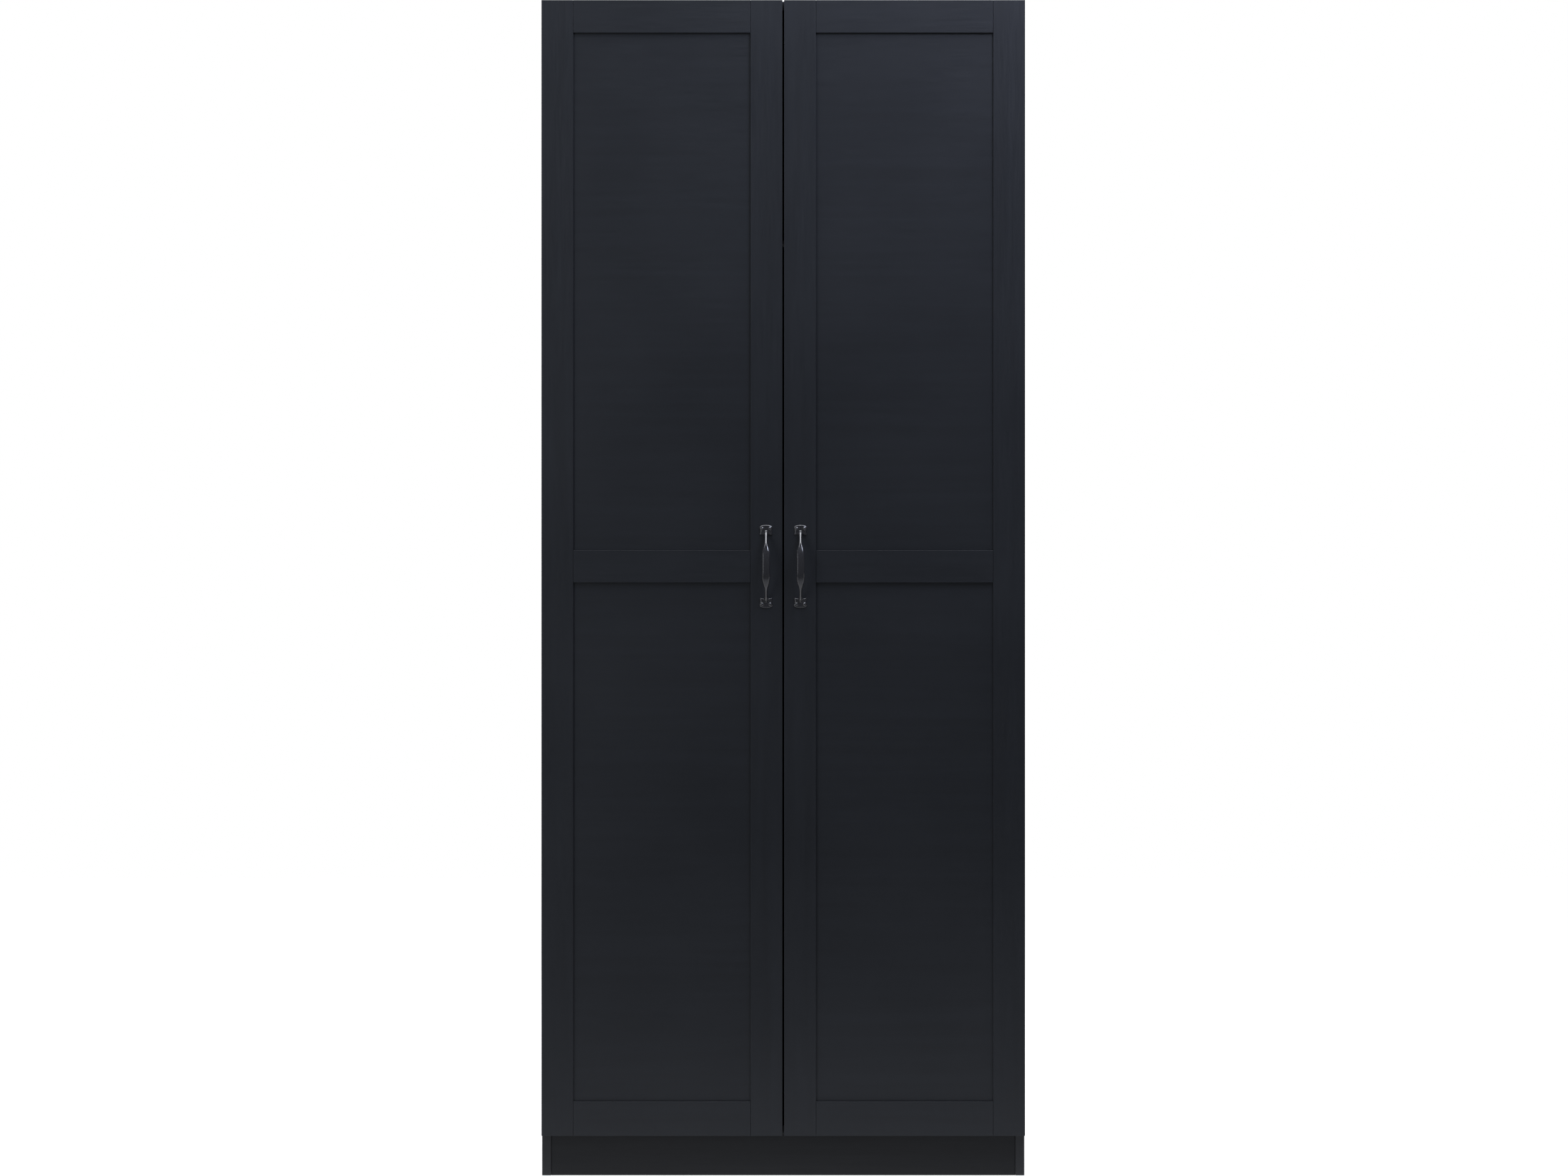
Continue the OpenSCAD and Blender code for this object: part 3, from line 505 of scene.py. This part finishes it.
def screw_tree():
    """Screws on points: each point's "out" attribute is the way its head faces. The head is a low dome
    with one or two slots across it, and the shank runs back from it."""
    t = NodeTree("screws_on_points", SCREW_SIZES)
    src = t.source
    line = t.add("GeometryNodeCurvePrimitiveLine", {"Start": (0, 0, 0), "End": (0, 0, 1)})
    line = t.add("GeometryNodeResampleCurve", {"Curve": line.outputs[0], "Count": DOME_RINGS})
    along = t.add("GeometryNodeSplineParameter").outputs["Factor"]
    angle = t.math("MULTIPLY", along, DOME_SWEEP)
    crown = t.math("DIVIDE", t.math("SINE", angle), math.sin(DOME_SWEEP))
    height = t.math("MULTIPLY", crown, src["Head Height"])
    radius = t.math("MULTIPLY", t.math("COSINE", angle), src["Head Radius"])
    dome = t.add("GeometryNodeSetPosition",
                 {"Geometry": line.outputs[0], "Position": t.xyz(0.0, 0.0, height)})
    ring = t.add("GeometryNodeCurvePrimitiveCircle", {"Resolution": HEAD_SIDES, "Radius": 1.0})
    dome = t.add("GeometryNodeCurveToMesh", {"Curve": dome.outputs[0], "Profile Curve": ring.outputs[0],
                                             "Scale": radius, "Fill Caps": True})
    long, wide = src["Recess Length"], src["Recess Width"]
    deep = t.math("MULTIPLY", src["Head Height"], RECESS_DEEP)
    bar = t.add("GeometryNodeMeshCube", {"Size": t.xyz(long, wide, deep)})
    cross = t.add("GeometryNodeMeshCube",
                  {"Size": t.xyz(wide, t.math("MULTIPLY", long, SECOND_BAR), deep)})
    two = t.math("GREATER_THAN", src["Slots"], 1.5)
    second = t.add("GeometryNodeSwitch", {"Switch": two, "True": cross.outputs["Mesh"]},
                   input_type="GEOMETRY")
    bars = t.add("GeometryNodeMeshBoolean", operation="UNION")
    t.group.links.new(bar.outputs["Mesh"], bars.inputs["Mesh 2"])
    t.group.links.new(second.outputs[0], bars.inputs["Mesh 2"])
    tool = t.add("GeometryNodeTransform", {"Geometry": bars.outputs[0],
                                           "Translation": t.xyz(0.0, 0.0, src["Head Height"])})
    cut = t.add("GeometryNodeMeshBoolean", {"Mesh 1": dome.outputs[0]}, operation="DIFFERENCE")
    t.group.links.new(tool.outputs[0], cut.inputs["Mesh 2"])
    slotted = t.math("GREATER_THAN", src["Slots"], 0.5)
    head = t.add("GeometryNodeSwitch",
                 {"Switch": slotted, "False": dome.outputs[0], "True": cut.outputs[0]},
                 input_type="GEOMETRY")
    shank = t.add("GeometryNodeMeshCylinder", {"Vertices": SHANK_SIDES, "Radius": src["Shank Radius"],
                                               "Depth": src["Shank Length"]})
    half_back = t.math("MULTIPLY", src["Shank Length"], -0.5)
    shank = t.add("GeometryNodeTransform", {"Geometry": shank.outputs["Mesh"],
                                            "Translation": t.xyz(0.0, 0.0, half_back)})
    whole = t.add("GeometryNodeJoinGeometry")
    t.group.links.new(head.outputs[0], whole.inputs[0])
    t.group.links.new(shank.outputs[0], whole.inputs[0])
    out = t.add("GeometryNodeInputNamedAttribute", {"Name": "out"}, data_type="FLOAT_VECTOR").outputs[0]
    turn = t.add("FunctionNodeAlignRotationToVector", {"Vector": out}, axis="Z").outputs[0]
    spin = t.add("FunctionNodeRandomValue", {"Min": (0, 0, 0), "Max": (0, 0, MOST_TURN),
                                             "Seed": TURN_SEED}, data_type="FLOAT_VECTOR")
    own = t.add("FunctionNodeEulerToRotation", {0: spin.outputs[0]}).outputs[0]
    turn = t.add("FunctionNodeRotateRotation", {"Rotation": turn, "Rotate By": own},
                 rotation_space="LOCAL").outputs[0]
    placed = t.add("GeometryNodeInstanceOnPoints", {"Points": src["Geometry"],
                                                    "Instance": whole.outputs[0], "Rotation": turn})
    real = t.add("GeometryNodeRealizeInstances", {"Geometry": placed.outputs[0]})
    real = t.add("GeometryNodeSetMaterial", {"Geometry": real.outputs[0], "Material": src["Material"]})
    t.group.links.new(real.outputs[0], t.sink[0])
    return t


SCREWS = screw_tree()

# Kinds of screw, in millimetres: head radius and height, shank radius, recess length and width, slots
CUP_SCREW = (3.2, 0.9, 1.9, 3.6, 0.8, 2)
PLATE_SCREW = (4.0, 1.2, 2.4, 4.2, 1.0, 2)
ARM_SCREW = (3.6, 1.6, 1.9, 4.0, 1.0, 2)
HANDLE_SCREW = (2.9, 1.5, 1.9, 7.0, 0.6, 1)
WOOD_SCREW = (3.2, 1.4, 1.9, 3.6, 0.8, 2)
NAIL = (2.2, 0.4, 0.7, 0.0, 0.0, 0)


def solids(node):
    """The box of each separate solid in a CAD node."""
    bm = merged_copy(node)
    boxes, left = [], set(bm.verts)
    while left:
        stack, found = [left.pop()], []
        while stack:
            v = stack.pop()
            found.append(v.co.copy())
            for e in v.link_edges:
                other = e.other_vert(v)
                if other in left:
                    left.remove(other)
                    stack.append(other)
        boxes.append(box_of(found))
    bm.free()
    return sorted(boxes, key=lambda box: tuple(box[0]))


def screws(node, body, facing, kind, key="steel"):
    """Real screws or nails where a CAD node has plain ones. facing is the way their heads face, or a
    function that gives it for the place of each."""
    *lengths, slots = kind
    head_radius, head_height, shank, recess_long, recess_wide = (n * MM for n in lengths)
    mesh = bpy.data.meshes.new(node + "_points")
    places, ways = [], []
    for low, high in solids(node):
        centre = (low + high) / 2
        way = Vector(facing(centre) if callable(facing) else facing)
        axis = max(range(3), key=lambda i: abs(way[i]))
        end = high if way[axis] > 0 else low
        place = centre.copy()
        place[axis] = end[axis] - way[axis] * head_height
        places.append(place)
        ways.append(way)
        shank_length = high[axis] - low[axis] - head_height
    mesh.from_pydata(places, [], [])
    attribute = mesh.attributes.new("out", "FLOAT_VECTOR", "POINT")
    for item, way in zip(attribute.data, ways):
        item.vector = way
    holder = bpy.data.objects.new(node + "_points", mesh)
    bpy.context.scene.collection.objects.link(holder)
    modifier = holder.modifiers.new("screws", "NODES")
    modifier.node_group = SCREWS.group
    sizes = (head_radius, head_height, shank, shank_length, recess_long, recess_wide, float(slots))
    for label, value in zip(SCREW_SIZES, sizes):
        modifier[SCREWS.ids[label]] = value
    modifier[SCREWS.ids["Material"]] = MATERIALS[key]
    bpy.context.view_layer.update()
    depsgraph = bpy.context.evaluated_depsgraph_get()
    made = bpy.data.meshes.new_from_object(holder.evaluated_get(depsgraph))
    bpy.data.objects.remove(holder)
    bm = bmesh.new()
    bm.from_mesh(made)
    bpy.data.meshes.remove(made)
    bmesh.ops.remove_doubles(bm, verts=bm.verts, dist=SAME_SCREW_POINT)
    finish_mesh(node + "_turned", bm, key, body, node, SCREW_CRISP)


# ---------------------------------------------------------------- the object

FORWARD, REARWARD, DOWNWARD = (0, -1, 0), (0, 1, 0), (0, 0, -1)
INWARD = {"left": (1, 0, 0), "right": (-1, 0, 0)}

for side in SIDES:
    door = f"{side}_door"
    board(f"{side}_door_slab", door, "door_across")
    for part in ("outer_stile", "inner_stile"):
        board(f"{side}_{part}", door, "door_up", THIN_EASE)
    for part in ("top_rail", "middle_rail", "bottom_rail"):
        board(f"{side}_{part}", door, "door_across", THIN_EASE, RAIL_JOINT)
    board(f"{side}_side_panel", "carcass", "board_up")
    board(f"{side}_back_sheet", "carcass", "hardboard", THIN_EASE)
    handle(side)
    for part, body, key, slot in (
        ("hinge_cups", door, "nickel", "hinge_steel"),
        ("cup_pins", door, "nickel", "hinge_steel"),
        ("hinge_plates", "carcass", "nickel", "hinge_steel"),
        ("hinge_arms", "carcass", "nickel", "hinge_steel"),
        ("arm_pins", "carcass", "nickel", "hinge_steel"),
        ("outer_links", f"{side}_outer_link", "nickel", "hinge_steel"),
        ("inner_links", f"{side}_inner_link", "nickel", "hinge_steel"),
        ("rod_flange", "carcass", "tube", "rod_chrome"),
        ("wall_bracket", "carcass", "zinc", "cam_zinc"),
        ("bumpers", door, "rubber", "bumper_rubber"),
    ):
        fitting(f"{side}_{part}", body, key)
    screws(f"{side}_cup_screws", door, REARWARD, CUP_SCREW)
    screws(f"{side}_plate_screws", "carcass", INWARD[side], PLATE_SCREW)
    screws(f"{side}_arm_screws", "carcass", INWARD[side], ARM_SCREW)
    screws(f"{side}_handle_screws", door, FORWARD, HANDLE_SCREW, "handle")

for node in ("top_panel", "bottom_panel", "upper_shelf", "lower_shelf"):
    board(node, "carcass", "board_across")
# The kick board gets the darker foil, painted shade under the doors
board("kick_board", "carcass", "shaded_kick_foil")
for node, key, slot in (
    ("hanging_rod", "tube", "rod_chrome"),
    ("cams", "zinc", "cam_zinc"),
    ("cam_bolts", "steel", "screw_steel"),
    ("dowels", "beech", "beech"),
    ("shelf_pins", "steel", "screw_steel"),
    ("back_tape", "tape", "fold_tape"),
):
    fitting(node, "carcass", key)
screws("rod_screws", "carcass", lambda place: (-math.copysign(1, place.x), 0, 0), WOOD_SCREW)
screws("bracket_screws", "carcass", DOWNWARD, WOOD_SCREW)
screws("back_nails", "carcass", REARWARD, NAIL)

# ---------------------------------------------------------------- room, light and camera

# The floor: its side, how far it lies under the foot, and (glow, place from front to back) at both
# ends of each ramp. It glows less towards the front, where it would show in the doors, and fades out
FLOOR_SIDE, FLOOR_DROP = 16, 0.6 * MM
FLOOR_GREY = (0.5, 0.5, 0.5, 1)
FRONT_GLOW = (0.05, 0.45, -1.2, -0.36)
BEHIND_GLOW = (0.0, 0.95, -0.32, -0.2)
FLOOR_FADE = (0.0, 1.0, -2.4, -1.4)

# The room's white shows to the camera only, and this weaker light fills it
ROOM_FILL, ROOM_COLOUR = 0.105, (0.9, 0.94, 1, 1)
# Lamps: where each stands, what it aims at, its width and height, its watts and its colour
LAMPS = (
    ("key", (0.9, -1.95, 3.25), (0.2, 0, 1.6), (0.8, 0.6), 22, (0.72, 0.8, 1)),
    ("left_fill", (-2.2, -2.7, 1.5), (-0.35, 0, 1.0), (1.0, 2.6), 23, (0.9, 0.94, 1)),
    ("top_wash", (0.8, -0.95, 2.45), (0.36, -0.23, 1.8), (0.4, 0.3), 7, (0.74, 0.77, 1)),
    ("overhead", (0.0, -0.75, 3.3), (0.0, -0.6, 1.0), (3.4, 1.0), 60, (0.92, 0.94, 1)),
    ("back_fill", (0.5, 3.2, 2.4), (0, 0, 1), (2, 1.6), 45, (1, 1, 1)),
)

# How far the camera stands from the doors, how much it takes in across their front, where it stands
# across and up, and its sensor's width in millimetres
CAMERA_AWAY, FIELD_WIDE = 8.0, 2.5938
CAMERA_ACROSS, CAMERA_UP = 0.00125, 0.9743
SENSOR_WIDE = 36


def stage_plane():
    """A grey floor that glows as painted light, less in front of the doors."""
    bpy.ops.mesh.primitive_plane_add(size=FLOOR_SIDE, location=(0, 0, -FLOOR_DROP))
    floor = bpy.context.object
    floor.name = "studio_floor"
    f = Finish("glowing_floor")
    f.set(Base_Color=FLOOR_GREY, Roughness=0.9, Emission_Color=(1, 1, 1, 1))
    place = f.add("ShaderNodeSeparateXYZ")
    f.join(f.coords, place.inputs[0])
    back = place.outputs["Y"]
    # Painted light: the floor's glow, weaker in front of the doors
    glow = f.math("MAXIMUM", f.spread(back, *FRONT_GLOW), f.spread(back, *BEHIND_GLOW))
    f.join(glow, f.shader.inputs["Emission Strength"])
    f.join(f.spread(back, *FLOOR_FADE), f.shader.inputs["Alpha"])
    floor.data.materials.append(f.done())


def softbox(name, at, aim, size, power, colour):
    data = bpy.data.lights.new(name, "AREA")
    data.shape = "RECTANGLE"
    data.size, data.size_y = size
    data.energy = power
    data.color = colour
    lamp = bpy.data.objects.new(name, data)
    lamp.location = at
    lamp.rotation_euler = (Vector(aim) - Vector(at)).to_track_quat("-Z", "Y").to_euler()
    bpy.context.scene.collection.objects.link(lamp)


def studio():
    world = bpy.data.worlds.new("studio")
    bpy.context.scene.world = world
    world.use_nodes = True
    nodes, links = world.node_tree.nodes, world.node_tree.links
    seen = nodes["Background"]
    seen.inputs["Color"].default_value = (1, 1, 1, 1)
    seen.inputs["Strength"].default_value = 1.0
    fill = nodes.new("ShaderNodeBackground")
    fill.inputs["Color"].default_value = ROOM_COLOUR
    fill.inputs["Strength"].default_value = ROOM_FILL
    rays = nodes.new("ShaderNodeLightPath")
    mix = nodes.new("ShaderNodeMixShader")
    links.new(rays.outputs["Is Camera Ray"], mix.inputs["Fac"])
    links.new(fill.outputs["Background"], mix.inputs[1])
    links.new(seen.outputs["Background"], mix.inputs[2])
    links.new(mix.outputs["Shader"], nodes["World Output"].inputs["Surface"])
    for lamp in LAMPS:
        softbox(*lamp)


def camera():
    scene = bpy.context.scene
    data = bpy.data.cameras.new("camera")
    cam = bpy.data.objects.new("camera", data)
    scene.collection.objects.link(cam)
    scene.camera = cam
    door_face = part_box("left_outer_stile")[0].y
    cam.location = (CAMERA_ACROSS, door_face - CAMERA_AWAY, CAMERA_UP)
    cam.rotation_euler = (math.radians(90), 0, 0)
    data.sensor_width = SENSOR_WIDE
    data.lens = SENSOR_WIDE * CAMERA_AWAY / FIELD_WIDE
    scene.view_settings.view_transform = "Standard"
    scene.view_settings.look = "None"


stage_plane()
studio()
camera()
